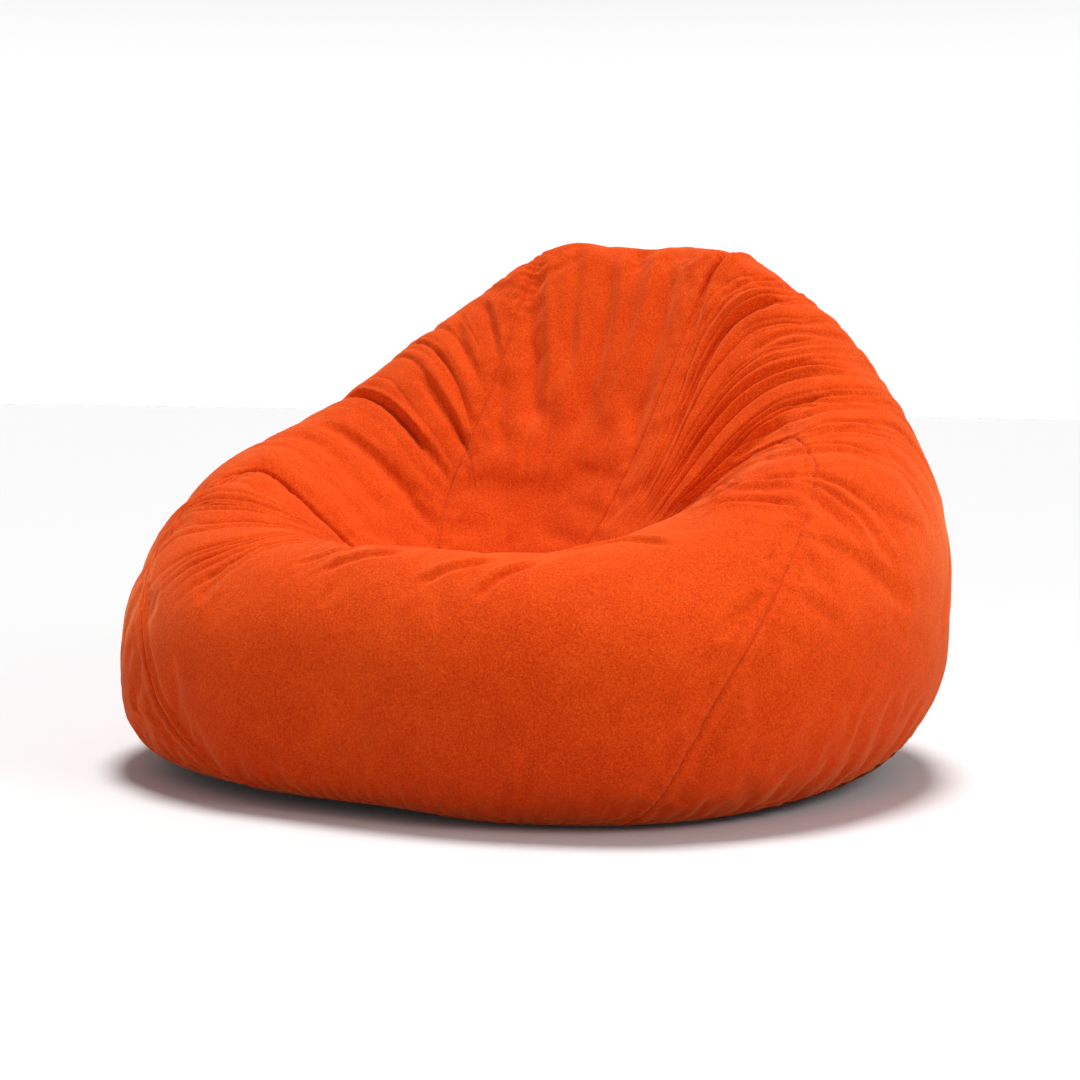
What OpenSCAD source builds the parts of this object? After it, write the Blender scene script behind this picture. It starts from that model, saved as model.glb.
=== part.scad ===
// Bean bag chair: sewn cover of four side panels and a base, with a rear zip,
// an inner liner and the bead filling. Millimetres, +Z up, front towards -Y.

/* [Cover] */
// thickness of the velour cover
cover_t = 2.4; // [1.6:0.2:2.8]
// height of the middle of the seat above the floor
seat_h = 170; // [150:5:190]
// thickness of the sewing thread
thread_d = 1.2; // [0.8:0.2:1.4]

/* [Zip] */
// angle of the zip round the rear of the base seam
zip_angle = 58; // [44:2:58]
// length of the slider along the zip
slider_l = 12; // [10:1:16]
// length of the pull tab from its pin
tab_l = 28; // [22:1:32]

/* [Liner] */
// distance from the outside of the cover to the outside of the liner
liner_gap = 14; // [12:1:18]
// thickness of the liner cloth
liner_t = 1.6; // [1.2:0.2:2]
// distance from the liner to the filling
fill_gap = 0.6; // [0.4:0.2:1]

/* [Label] */
// width of the blank care label
label_w = 30; // [24:2:40]
// length of the blank care label
label_l = 40; // [30:2:42]

/* [Hidden] */
$fn = 120;

// The bag is measured round an upright line through the middle of the seat.
// Twelve stations, 30 degrees apart: front, front right, and so on round to front left.
seat_line_y = -118;
step = 30;
foot_r  = [275, 285, 330, 350, 365, 365, 365, 365, 365, 350, 330, 285];
belly_r = [335, 375, 445, 490, 545, 565, 565, 565, 545, 490, 445, 375];
belly_h = [100, 105, 125, 160, 200, 220, 220, 220, 200, 160, 125, 105];
rim_r   = [225, 240, 280, 350, 400, 400, 400, 400, 400, 350, 280, 240];
rim_h   = [285, 285, 300, 365, 440, 590, 645, 590, 440, 365, 300, 285];
lip_r   = [85, 85, 85, 85, 80, 70, 60, 70, 80, 85, 85, 85];
well_r  = [120, 120, 120, 120, 130, 150, 160, 150, 130, 120, 120, 120];
base_seam_h = [4, 4, 4, 20, 55, 55, 55, 55, 55, 50, 20, 6];
low_power = 2.4;
high_power = 2.2;

// Places along the skin, from the middle of the underside to the middle of the seat.
at_foot = 0.15;
at_belly = 0.40;
at_rim = 0.62;

// Seams between the side panels: [place along the skin, angle round the bag].
front_left_seam = [[0.15, -13], [0.25, -26], [0.33, -35], [0.40, -44], [0.50, -61],
                   [0.60, -84], [0.65, -88], [0.72, -87], [0.80, -84], [1.00, -76]];
front_right_seam = [[0.15, 50], [0.25, 53], [0.33, 55], [0.40, 58], [0.50, 75],
                    [0.60, 97], [0.70, 116], [0.80, 122], [1.00, 125]];
back_right_seam = [[0.15, 142], [0.25, 144], [0.33, 147], [0.40, 150], [0.50, 156],
                   [0.60, 161], [0.70, 161], [0.80, 158], [1.00, 155]];
back_left_seam = [[0.15, 218], [0.25, 216], [0.33, 213], [0.40, 210], [0.50, 204],
                  [0.60, 199], [0.70, 204], [0.77, 210], [0.81, 220], [0.85, 236], [1.00, 258]];
seam_ease = 0.03;

panel_rows = 28;
base_rows = 8;
liner_rows = 20;
tiny = 0.002;

// Value of a column of stations at any angle, on a smooth closed curve.
function round_bag(col, a) =
    let (n = len(col),
         x = (a - 360 * floor(a / 360)) / step,
         i = floor(x),
         f = x - i,
         p0 = col[(i + n - 1) % n],
         p1 = col[i % n],
         p2 = col[(i + 1) % n],
         p3 = col[(i + 2) % n])
    0.5 * (2 * p1 + (p2 - p0) * f + (2 * p0 - 5 * p1 + 4 * p2 - p3) * f * f
           + (3 * p1 - p0 - 3 * p2 + p3) * f * f * f);

function curve(p0, p1, p2, p3, s) =
    pow(1 - s, 3) * p0 + 3 * s * pow(1 - s, 2) * p1 + 3 * s * s * (1 - s) * p2 + pow(s, 3) * p3;

// Distance out and height of the skin at angle a and place t.
function low_side(a, q) =
    let (foot = round_bag(foot_r, a),
         belly = round_bag(belly_r, a),
         e = 2 / low_power)
    [foot + (belly - foot) * pow(sin(q), e), round_bag(belly_h, a) * (1 - pow(cos(q), e))];

function high_side(a, q) =
    let (belly = round_bag(belly_r, a),
         rim = round_bag(rim_r, a),
         low = round_bag(belly_h, a),
         e = 2 / high_power)
    [rim + (belly - rim) * pow(cos(q), e),
     low + (round_bag(rim_h, a) - low) * pow(sin(q), e)];

function seat_side(a, s) =
    let (rim = round_bag(rim_r, a),
         high = round_bag(rim_h, a))
    [curve(rim, rim - round_bag(lip_r, a), round_bag(well_r, a), 0, s),
     curve(high, high, seat_h, seat_h, s)];

function profile(a, t) =
    t <= at_foot ? [round_bag(foot_r, a) * t / at_foot, 0]
    : t <= at_belly ? low_side(a, 90 * (t - at_foot) / (at_belly - at_foot))
    : t <= at_rim ? high_side(a, 90 * (t - at_belly) / (at_rim - at_belly))
    : seat_side(a, min(1, (t - at_rim) / (1 - at_rim)));

function skin(a, t) =
    let (p = profile(a, t))
    [p[0] * sin(a), seat_line_y - p[0] * cos(a), p[1]];

function unit(v) = v / norm(v);

function outward(a, t) =
    t < at_foot - tiny ? [0, 0, -1]
    : t > 1 - tiny ? [0, 0, 1]
    : unit(cross(skin(a + 0.5, t) - skin(a - 0.5, t), skin(a, t + tiny) - skin(a, t - tiny)));

// Point on a layer that lies a given depth inside the skin.
function layer(a, t, depth) = skin(a, t) - depth * outward(a, t);

function seam_angle(seam, t) =
    (lookup(t - seam_ease, seam) + 2 * lookup(t, seam) + lookup(t + seam_ease, seam)) / 4;

// Place of the base seam, from its height.
function base_seam_turn(a) =
    acos(pow(1 - round_bag(base_seam_h, a) / round_bag(belly_h, a), low_power / 2));
function turn_to_place(q) = at_foot + (at_belly - at_foot) * q / 90;

// The zip lies in the base seam at the rear, on an arc round the seat line.
zip_mid = 180;
zip_start = zip_mid - zip_angle / 2;
zip_end = zip_mid + zip_angle / 2;
zip_turn = base_seam_turn(zip_mid);
zip_at = low_side(zip_mid, zip_turn);
zip_run = low_side(zip_mid, zip_turn + 0.5) - low_side(zip_mid, zip_turn - 0.5);
zip_slope = atan2(zip_run[1], zip_run[0]);
zip_opening = 8;
zip_room = 1.6;
opening_turn = zip_opening / norm(zip_run);
stitch_turn = 13 / norm(zip_run);

function zip_gap(a) = a > zip_start - zip_room && a < zip_end + zip_room ? opening_turn : 0;
function panel_foot(a) = turn_to_place(base_seam_turn(a) + zip_gap(a));
function base_edge(a) = turn_to_place(base_seam_turn(a) - zip_gap(a));

// Angle across a side panel: u runs from 0 at its first seam to 1 at its second.
function across(first, second, wrap, u, t) =
    (1 - u) * seam_angle(first, t) + u * (seam_angle(second, t) + wrap);

// Row k of a panel: its foot is on the base seam at the angle the panel has there.
function foot_angle(first, second, wrap, u) = across(first, second, wrap, u, at_foot + 0.06);
function row_place(first, second, wrap, u, k) =
    let (low = panel_foot(foot_angle(first, second, wrap, u)))
    low + (1 - low) * k / panel_rows;
function row_angle(first, second, wrap, u, k) =
    let (t = row_place(first, second, wrap, u, k))
    k == 0 ? foot_angle(first, second, wrap, u) : across(first, second, wrap, u, max(t, at_foot + 0.06));

function panel_layer(first, second, wrap, columns, depth) =
    [for (k = [0 : panel_rows - 1])
        for (j = [0 : columns])
            layer(row_angle(first, second, wrap, j / columns, k),
                  row_place(first, second, wrap, j / columns, k), depth)];

// A closed shell from an outside grid, an inside grid and one tip point on each.
module tipped_shell(rows, columns, outside, inside, tips) {
    w = columns + 1;
    n = rows * w;
    out_tip = 2 * n;
    in_tip = 2 * n + 1;
    last = (rows - 1) * w;
    skins = [for (k = [0 : rows - 2]) for (j = [0 : columns - 1])
        let (a = k * w + j, b = a + 1, c = a + w + 1, d = a + w)
        each [[a, c, b], [a, d, c], [n + a, n + b, n + c], [n + a, n + c, n + d]]];
    caps = [for (j = [0 : columns - 1])
        each [[last + j, out_tip, last + j + 1], [n + last + j, n + last + j + 1, in_tip]]];
    foot = [for (j = [0 : columns - 1])
        each [[j, j + 1, n + j + 1], [j, n + j + 1, n + j]]];
    sides = [for (k = [0 : rows - 2])
        let (a = k * w, d = a + w, e = a + columns, f = e + w)
        each [[a, n + a, n + d], [a, n + d, d], [e, f, n + f], [e, n + f, n + e]]];
    ends = [[last, n + last, in_tip], [last, in_tip, out_tip],
            [last + columns, out_tip, in_tip], [last + columns, in_tip, n + last + columns]];
    polyhedron(points = concat(outside, inside, tips),
               faces = concat(skins, caps, foot, sides, ends));
}

module side_panel(first, second, wrap, columns) {
    tipped_shell(panel_rows, columns,
                 panel_layer(first, second, wrap, columns, 0),
                 panel_layer(first, second, wrap, columns, cover_t),
                 [layer(0, 1, 0), layer(0, 1, cover_t)]);
}

front_columns = 14;
side_columns = 14;
back_columns = 20;

module front_panel() {
    color("orangered") side_panel(front_left_seam, front_right_seam, 0, front_columns);
}
module right_panel() {
    color("tomato") side_panel(front_right_seam, back_right_seam, 0, side_columns);
}
module back_panel() {
    color("coral") side_panel(back_right_seam, back_left_seam, 0, back_columns);
}
module left_panel() {
    color("chocolate") side_panel(back_left_seam, front_left_seam, 360, side_columns);
}

// Angles of every panel corner round the base seam.
base_angles = concat(
    [for (j = [0 : front_columns - 1]) foot_angle(front_left_seam, front_right_seam, 0, j / front_columns)],
    [for (j = [0 : side_columns - 1]) foot_angle(front_right_seam, back_right_seam, 0, j / side_columns)],
    [for (j = [0 : back_columns - 1]) foot_angle(back_right_seam, back_left_seam, 0, j / back_columns)],
    [for (j = [0 : side_columns - 1]) foot_angle(back_left_seam, front_left_seam, 360, j / side_columns)]);

// A closed dish from rings of points round the middle of the underside.
module ring_shell(rows, columns, outside, inside, tips) {
    n = rows * columns;
    skins = [for (k = [0 : rows - 2]) for (j = [0 : columns - 1])
        let (h = (j + 1) % columns, a = k * columns + j, b = k * columns + h, c = b + columns, d = a + columns)
        each [[a, c, b], [a, d, c], [n + a, n + b, n + c], [n + a, n + c, n + d]]];
    middle = [for (j = [0 : columns - 1])
        let (h = (j + 1) % columns)
        each [[2 * n, j, h], [2 * n + 1, n + h, n + j]]];
    edge = [for (j = [0 : columns - 1])
        let (h = (j + 1) % columns, a = (rows - 1) * columns + j, b = (rows - 1) * columns + h)
        each [[a, n + b, b], [a, n + a, n + b]]];
    polyhedron(points = concat(outside, inside, tips), faces = concat(skins, middle, edge));
}

function dish_place(edge, k, rows) = let (x = k / rows) edge * (1 - pow(1 - x, 1.6));

module dish(edges, rows, outer_depth, inner_depth) {
    columns = len(base_angles);
    ring_shell(rows, columns,
        [for (k = [1 : rows]) for (j = [0 : columns - 1])
            layer(base_angles[j], dish_place(edges[j], k, rows), outer_depth)],
        [for (k = [1 : rows]) for (j = [0 : columns - 1])
            layer(base_angles[j], dish_place(edges[j], k, rows), inner_depth)],
        [layer(0, 0, outer_depth), layer(0, 0, inner_depth)]);
}

module base_panel() {
    color("brown") dish([for (a = base_angles) base_edge(a)], base_rows, 0, cover_t);
}

// Sewing thread: a thin rod with six sides that follows a line of points.
thread_sides = 6;
thread_lift = 0.4 + thread_d / 2;

module thread(route, lifts) {
    n = len(route);
    ring = [for (i = [0 : n - 1])
        let (ahead = unit(route[min(i + 1, n - 1)] - route[max(i - 1, 0)]),
             up = lifts[i],
             side = unit(cross(ahead, up)),
             top = cross(side, ahead))
        for (s = [0 : thread_sides - 1])
            route[i] + thread_d / 2 * (cos(60 * s) * side + sin(60 * s) * top)];
    walls = [for (i = [0 : n - 2]) for (s = [0 : thread_sides - 1])
        let (h = (s + 1) % thread_sides, a = i * thread_sides + s, b = i * thread_sides + h)
        each [[a, b, b + thread_sides], [a, b + thread_sides, a + thread_sides]]];
    first = [[for (s = [thread_sides - 1 : -1 : 0]) s]];
    final = [[for (s = [0 : thread_sides - 1]) (n - 1) * thread_sides + s]];
    polyhedron(points = ring, faces = concat(walls, first, final));
}

module seam_thread(first, second, wrap) {
    places = [for (k = [0 : panel_rows - 1]) [row_angle(first, second, wrap, 0, k), row_place(first, second, wrap, 0, k)]];
    thread([for (p = places) layer(p[0], p[1], -thread_lift)], [for (p = places) outward(p[0], p[1])]);
}

module front_left_seam_thread() {
    color("maroon") seam_thread(front_left_seam, front_right_seam, 0);
}
module front_right_seam_thread() {
    color("maroon") seam_thread(front_right_seam, back_right_seam, 0);
}
module back_right_seam_thread() {
    color("maroon") seam_thread(back_right_seam, back_left_seam, 0);
}
module back_left_seam_thread() {
    color("maroon") seam_thread(back_left_seam, front_left_seam, 360);
}

// The base seam thread runs from one end of the zip round the front to the other.
module base_seam_thread() {
    turned = [for (a = base_angles) if (a > zip_end + zip_room) a - 360];
    rest = [for (a = base_angles) if (a < zip_start - zip_room) a];
    route = concat(turned, rest);
    color("maroon") thread([for (a = route) layer(a, turn_to_place(base_seam_turn(a)), -thread_lift)],
                           [for (a = route) outward(a, turn_to_place(base_seam_turn(a)))]);
}

// Zip pieces: a flat outline in the cut across the zip, swept round the seat line.
// In the cut, x runs up along the cover and y runs out of it.
tape_w = 15;
tape_t = 0.8;
tape_y = -5.6;
teeth_w = 1.8;
teeth_h = 2.4;
teeth_x = 0.8;
teeth_y = tape_y + tape_t / 2 - teeth_h / 2;
room = 0.4;
stop_angle = 0.35;
stop_room = 0.08;

module zip_sweep(from, angle) {
    translate([0, seat_line_y, 0])
        rotate([0, 0, from - 90])
            rotate_extrude(angle = angle)
                translate(zip_at)
                    rotate(zip_slope)
                        mirror([0, 1])
                            children();
}

module zip_tape_upper() {
    color("saddlebrown") zip_sweep(zip_start, zip_angle)
        translate([teeth_x + teeth_w, tape_y]) square([tape_w, tape_t]);
}
module zip_tape_lower() {
    color("saddlebrown") zip_sweep(zip_start, zip_angle)
        translate([-teeth_x - teeth_w - tape_w, tape_y]) square([tape_w, tape_t]);
}
module zip_teeth_upper() {
    color("dimgray") zip_sweep(zip_start, zip_angle)
        translate([teeth_x, teeth_y]) square([teeth_w, teeth_h]);
}
module zip_teeth_lower() {
    color("dimgray") zip_sweep(zip_start, zip_angle)
        translate([-teeth_x - teeth_w, teeth_y]) square([teeth_w, teeth_h]);
}
module stop_block() {
    translate([-teeth_x - teeth_w, teeth_y - room]) square([2 * (teeth_x + teeth_w), teeth_h + 2 * room]);
}
module zip_stop_closed_end() {
    color("silver") zip_sweep(zip_end + stop_room, stop_angle) stop_block();
}
module zip_stop_open_end() {
    color("silver") zip_sweep(zip_start - stop_room - stop_angle, stop_angle) stop_block();
}

// Slider: two plates round the teeth, joined by a thin post between the rows.
plate_w = 10;
plate_t = 1.2;
post_w = 0.8;
slider_low = teeth_y - room - plate_t;
slider_high = teeth_y + teeth_h + room + plate_t;
slider_angle = slider_l / zip_at[0] * 180 / PI;
slider_from = zip_end - 0.1 - slider_angle;
slider_mid = slider_from + slider_angle / 2;

module slider_cut() {
    translate([-plate_w / 2, slider_low]) square([plate_w, plate_t]);
    translate([-plate_w / 2, slider_high - plate_t]) square([plate_w, plate_t]);
    translate([-post_w / 2, slider_low]) square([post_w, slider_high - slider_low]);
}

pin_r = 1.2;
pin_room = 0.05;
pin_y = slider_high + 2.6;
bridge_w = 3;
bridge_l = 4.4;
bridge_high = pin_y + 2.3;
arm_w = 1.2;
arm_room = 0.4;
arm_r = 1.9;
tab_w = 9;
tab_t = 1.6;
tab_from = 5;

// Moves a piece drawn round the slider's own middle to its place on the zip.
module at_slider() {
    translate([0, seat_line_y, 0])
        rotate([0, 0, slider_mid - 90])
            translate([zip_at[0], 0, zip_at[1]])
                rotate([0, 180 - zip_slope, 0])
                    children();
}

module pin_line(r, length) {
    translate([0, 0, pin_y]) rotate([0, 90, 0]) cylinder(r = r, h = length, center = true, $fn = 48);
}

module zip_slider() {
    color("lightgray") union() {
        zip_sweep(slider_from, slider_angle) slider_cut();
        at_slider() difference() {
            translate([-bridge_w / 2, -bridge_l / 2, slider_high - plate_t / 2])
                cube([bridge_w, bridge_l, bridge_high - slider_high + plate_t / 2]);
            pin_line(pin_r + pin_room, 2 * bridge_w);
        }
    }
}

arm_x = bridge_w / 2 + arm_room;
module tab_arm(x) {
    translate([x, 0, pin_y]) rotate([0, 90, 0]) cylinder(r = arm_r, h = arm_w, $fn = 48);
    translate([x, -tab_t / 2, pin_y]) cube([arm_w, tab_t, tab_from + tab_t]);
}

module zip_pull_tab() {
    color("gray") at_slider() union() {
        pin_line(pin_r, 2 * (arm_x + arm_w));
        tab_arm(arm_x);
        tab_arm(-arm_x - arm_w);
        translate([-tab_w / 2, -tab_t / 2, pin_y + tab_from]) cube([tab_w, tab_t, tab_l - tab_from]);
    }
}

// Two rows of stitching hold the tapes to the panels beside the opening.
module stitch_row(turn) {
    steps = 22;
    angles = [for (i = [0 : steps]) zip_start + zip_angle * i / steps];
    thread([for (a = angles) layer(a, turn_to_place(base_seam_turn(a) + turn), -thread_lift - 0.4)],
           [for (a = angles) outward(a, turn_to_place(base_seam_turn(a) + turn))]);
}
module zip_stitching() {
    color("maroon") {
        stitch_row(stitch_turn);
        stitch_row(-stitch_turn);
    }
}

// Blank care label, hanging from the base seam beside the zip.
label_angle = 143;
label_t = 0.5;
label_out = 2.2;
module care_label() {
    place = low_side(label_angle, base_seam_turn(label_angle));
    color("white") translate([0, seat_line_y, 0])
        rotate([0, 0, label_angle - 90])
            translate([place[0] + label_out, -label_w / 2, place[1] - label_l])
                cube([label_t, label_w, label_l]);
}

// Inner liner: a front half, a rear half and a round base.
liner_columns = 18;
liner_foot = at_foot;
function liner_layer(from, depth) =
    [for (k = [0 : liner_rows - 1])
        for (j = [0 : liner_columns])
            layer(from + 180 * j / liner_columns, liner_foot + (1 - liner_foot) * k / liner_rows, depth)];

module liner_half(from) {
    tipped_shell(liner_rows, liner_columns,
                 liner_layer(from, liner_gap),
                 liner_layer(from, liner_gap + liner_t),
                 [layer(0, 1, liner_gap), layer(0, 1, liner_gap + liner_t)]);
}
module liner_front_half() {
    color("beige") liner_half(-90);
}
module liner_rear_half() {
    color("wheat") liner_half(90);
}

ring_count = 36;
ring_angles = [for (j = [0 : ring_count - 1]) -90 + 360 * j / ring_count];
liner_base_rows = 3;
module liner_base() {
    color("ivory") ring_shell(liner_base_rows, ring_count,
        [for (k = [1 : liner_base_rows]) for (a = ring_angles)
            layer(a, (liner_foot - 2 * tiny) * k / liner_base_rows, liner_gap)],
        [for (k = [1 : liner_base_rows]) for (a = ring_angles)
            layer(a, (liner_foot - 2 * tiny) * k / liner_base_rows, liner_gap + liner_t)],
        [layer(0, 0, liner_gap), layer(0, 0, liner_gap + liner_t)]);
}

// Hook and loop strips close the mouth of the liner, above the zip.
strip_turn = 62;
strip_angle = 40;
strip_w = 20;
strip_t = 1;
strip_at = low_side(zip_mid, strip_turn);
strip_run = low_side(zip_mid, strip_turn + 0.5) - low_side(zip_mid, strip_turn - 0.5);
strip_slope = atan2(strip_run[1], strip_run[0]);
hook_depth = liner_gap - 1;
loop_depth = hook_depth - strip_t - 0.2;

module strip(depth) {
    translate([0, seat_line_y, 0])
        rotate([0, 0, zip_mid - strip_angle / 2 - 90])
            rotate_extrude(angle = strip_angle)
                translate(strip_at)
                    rotate(strip_slope)
                        translate([-strip_w / 2, depth - strip_t])
                            square([strip_w, strip_t]);
}
module liner_hook_strip() {
    color("black") strip(hook_depth);
}
module liner_loop_strip() {
    color("dimgray") strip(loop_depth);
}

// The beads fill the liner: the same rows as the liner, a little further in.
module bead_filling() {
    depth = liner_gap + liner_t + fill_gap;
    places = concat([for (k = [1 : liner_base_rows]) (liner_foot - 2 * tiny) * k / liner_base_rows],
                    [for (k = [0 : liner_rows - 1]) liner_foot + (1 - liner_foot) * k / liner_rows]);
    count = len(places);
    n = count * ring_count;
    rows = [for (t = places) for (a = ring_angles) layer(a, t, depth)];
    sides = [for (k = [0 : count - 2]) for (j = [0 : ring_count - 1])
        let (h = (j + 1) % ring_count, a = k * ring_count + j, b = k * ring_count + h)
        each [[a, b + ring_count, b], [a, a + ring_count, b + ring_count]]];
    under = [for (j = [0 : ring_count - 1]) [n, j, (j + 1) % ring_count]];
    over = [for (j = [0 : ring_count - 1])
        let (last = (count - 1) * ring_count)
        [n + 1, last + (j + 1) % ring_count, last + j]];
    color("snow") polyhedron(points = concat(rows, [layer(0, 0, depth), layer(0, 1, depth)]),
                             faces = concat(sides, under, over));
}

front_panel();
right_panel();
back_panel();
left_panel();
base_panel();
front_left_seam_thread();
front_right_seam_thread();
back_left_seam_thread();
back_right_seam_thread();
base_seam_thread();
zip_tape_upper();
zip_tape_lower();
zip_teeth_upper();
zip_teeth_lower();
zip_slider();
zip_pull_tab();
zip_stop_closed_end();
zip_stop_open_end();
zip_stitching();
care_label();
liner_front_half();
liner_rear_half();
liner_base();
liner_hook_strip();
liner_loop_strip();
bead_filling();
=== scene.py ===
import math

import bpy
import numpy as np
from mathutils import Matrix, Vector


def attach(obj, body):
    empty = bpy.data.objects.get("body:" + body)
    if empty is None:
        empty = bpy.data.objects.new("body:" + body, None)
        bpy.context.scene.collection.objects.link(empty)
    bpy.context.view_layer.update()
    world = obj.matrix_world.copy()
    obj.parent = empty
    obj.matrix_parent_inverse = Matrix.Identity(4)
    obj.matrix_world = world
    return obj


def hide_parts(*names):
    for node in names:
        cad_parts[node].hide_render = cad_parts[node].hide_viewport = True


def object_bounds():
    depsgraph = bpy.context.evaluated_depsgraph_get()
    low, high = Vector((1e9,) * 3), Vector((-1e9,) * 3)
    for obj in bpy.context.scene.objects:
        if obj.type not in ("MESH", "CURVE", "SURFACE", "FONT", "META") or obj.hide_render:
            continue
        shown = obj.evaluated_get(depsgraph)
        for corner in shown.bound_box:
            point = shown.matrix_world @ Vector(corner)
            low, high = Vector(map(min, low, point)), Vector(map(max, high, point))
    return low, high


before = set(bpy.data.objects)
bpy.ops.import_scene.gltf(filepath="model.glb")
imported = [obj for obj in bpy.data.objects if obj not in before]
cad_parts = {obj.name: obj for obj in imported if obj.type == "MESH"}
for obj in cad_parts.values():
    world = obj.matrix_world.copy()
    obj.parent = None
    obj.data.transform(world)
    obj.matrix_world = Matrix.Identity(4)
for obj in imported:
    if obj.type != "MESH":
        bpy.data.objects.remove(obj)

cad_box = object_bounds()
MM = 0.001

# ---------------------------------------------------------------- the bag's shape
# The same twelve stations round the seat line as in the part's source, in millimetres.
SEAT_LINE_Y = -118.0
STEP = 30.0
FOOT_R = [275, 285, 330, 350, 365, 365, 365, 365, 365, 350, 330, 285]
BELLY_R = [335, 375, 445, 490, 545, 565, 565, 565, 545, 490, 445, 375]
BELLY_H = [100, 105, 125, 160, 200, 220, 220, 220, 200, 160, 125, 105]
RIM_R = [225, 240, 280, 350, 400, 400, 400, 400, 400, 350, 280, 240]
RIM_H = [285, 285, 300, 365, 440, 590, 645, 590, 440, 365, 300, 285]
LIP_R = [85, 85, 85, 85, 80, 70, 60, 70, 80, 85, 85, 85]
WELL_R = [120, 120, 120, 120, 130, 150, 160, 150, 130, 120, 120, 120]
BASE_SEAM_H = [4, 4, 4, 20, 55, 55, 55, 55, 55, 50, 20, 6]
SEAT_H = 170.0
LOW_POWER, HIGH_POWER = 2.4, 2.2
AT_FOOT, AT_BELLY, AT_RIM = 0.15, 0.40, 0.62

FRONT_LEFT = [(0.15, -13), (0.25, -26), (0.33, -35), (0.40, -44), (0.50, -61),
              (0.60, -84), (0.65, -88), (0.72, -87), (0.80, -84), (1.00, -76)]
FRONT_RIGHT = [(0.15, 50), (0.25, 53), (0.33, 55), (0.40, 58), (0.50, 75),
               (0.60, 97), (0.70, 116), (0.80, 122), (1.00, 125)]
BACK_RIGHT = [(0.15, 142), (0.25, 144), (0.33, 147), (0.40, 150), (0.50, 156),
              (0.60, 161), (0.70, 161), (0.80, 158), (1.00, 155)]
BACK_LEFT = [(0.15, 218), (0.25, 216), (0.33, 213), (0.40, 210), (0.50, 204), (0.60, 199), (0.70, 204),
             (0.77, 210), (0.81, 220), (0.85, 236), (1.00, 258)]

SEAMS = {"front_left": FRONT_LEFT, "front_right": FRONT_RIGHT,
         "back_right": BACK_RIGHT, "back_left": BACK_LEFT}
# Below this place the panel seams keep the angle that they have here.
SEAM_FOOT = AT_FOOT + 0.06

ZIP_MID, ZIP_ANGLE, ZIP_ROOM, ZIP_OPENING = 180.0, 58.0, 0.3, 8.0
ZIP_RADIUS = 514.0
COVER_T = 2.4
LINER_GAP, LINER_DEPTH, LINER_T = 14.0, 27.0, 1.6
FRONT_TUCK = 10.0


def cubic(p0, p1, p2, p3, f):
    """A smooth curve from p1 to p2, with the points before and after them."""
    return 0.5 * (2 * p1 + (p2 - p0) * f + (2 * p0 - 5 * p1 + 4 * p2 - p3) * f ** 2
                  + (3 * p1 - p0 - 3 * p2 + p3) * f ** 3)


def round_bag(column, angle):
    """Value of a column of stations at any angle, on a smooth closed curve."""
    c = np.asarray(column, float)
    x = np.mod(angle, 360.0) / STEP
    i = np.floor(x).astype(int)
    return cubic(*(c[(i + k) % len(c)] for k in (-1, 0, 1, 2)), x - i)


def skin(angle, place):
    """Points on the smooth skin, in metres.

    place runs from 0, the middle of the underside, to 1, the middle of the seat.
    """
    angle, place = np.broadcast_arrays(np.asarray(angle, float), np.asarray(place, float))
    foot, belly, low = (round_bag(c, angle) for c in (FOOT_R, BELLY_R, BELLY_H))
    rim, high, lip, well = (round_bag(c, angle) for c in (RIM_R, RIM_H, LIP_R, WELL_R))
    quarter = math.pi / 2
    q = np.clip((place - AT_FOOT) / (AT_BELLY - AT_FOOT), 0, 1) * quarter
    e = 2 / LOW_POWER
    r_low = foot + (belly - foot) * np.sin(q) ** e
    z_low = low * (1 - np.cos(q) ** e)
    q = np.clip((place - AT_BELLY) / (AT_RIM - AT_BELLY), 0, 1) * quarter
    e = 2 / HIGH_POWER
    r_high = rim + (belly - rim) * np.cos(q) ** e
    z_high = low + (high - low) * np.sin(q) ** e
    s = np.clip((place - AT_RIM) / (1 - AT_RIM), 0, 1)
    b0, b1, b2, b3 = (1 - s) ** 3, 3 * s * (1 - s) ** 2, 3 * s * s * (1 - s), s ** 3
    r_seat = b0 * rim + b1 * (rim - lip) + b2 * well
    z_seat = (b0 + b1) * high + (b2 + b3) * SEAT_H
    under, below, side = place <= AT_FOOT, place <= AT_BELLY, place <= AT_RIM
    r = np.where(under, foot * place / AT_FOOT, np.where(below, r_low, np.where(side, r_high, r_seat)))
    z = np.where(under, 0.0, np.where(below, z_low, np.where(side, z_high, z_seat)))
    a = np.radians(angle)
    return np.stack([r * np.sin(a), SEAT_LINE_Y - r * np.cos(a), z], -1) * MM


def outward(angle, place):
    """Unit vectors out of the skin."""
    angle, place = np.broadcast_arrays(np.asarray(angle, float), np.asarray(place, float))
    ahead = skin(angle + 0.5, place) - skin(angle - 0.5, place)
    up = skin(angle, np.minimum(place + 0.002, 1)) - skin(angle, place - 0.002)
    n = np.cross(ahead, up)
    length = np.linalg.norm(n, axis=-1, keepdims=True)
    n = n / np.maximum(length, 1e-12)
    n = np.where((place > 0.998)[..., None], [0.0, 0.0, 1.0], n)
    return np.where((place < AT_FOOT - 0.002)[..., None], [0.0, 0.0, -1.0], n)


def seam_angle(seam, place):
    places, angles = np.array(seam, float).T
    return sum(w * np.interp(place + d, places, angles) for w, d in ((0.25, -0.03), (0.5, 0.0), (0.25, 0.03)))


def base_seam_turn(angle):
    share = round_bag(BASE_SEAM_H, angle) / round_bag(BELLY_H, angle)
    return np.degrees(np.arccos((1 - share) ** (LOW_POWER / 2)))


def turn_to_place(turn):
    return AT_FOOT + (AT_BELLY - AT_FOOT) * turn / 90


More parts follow.
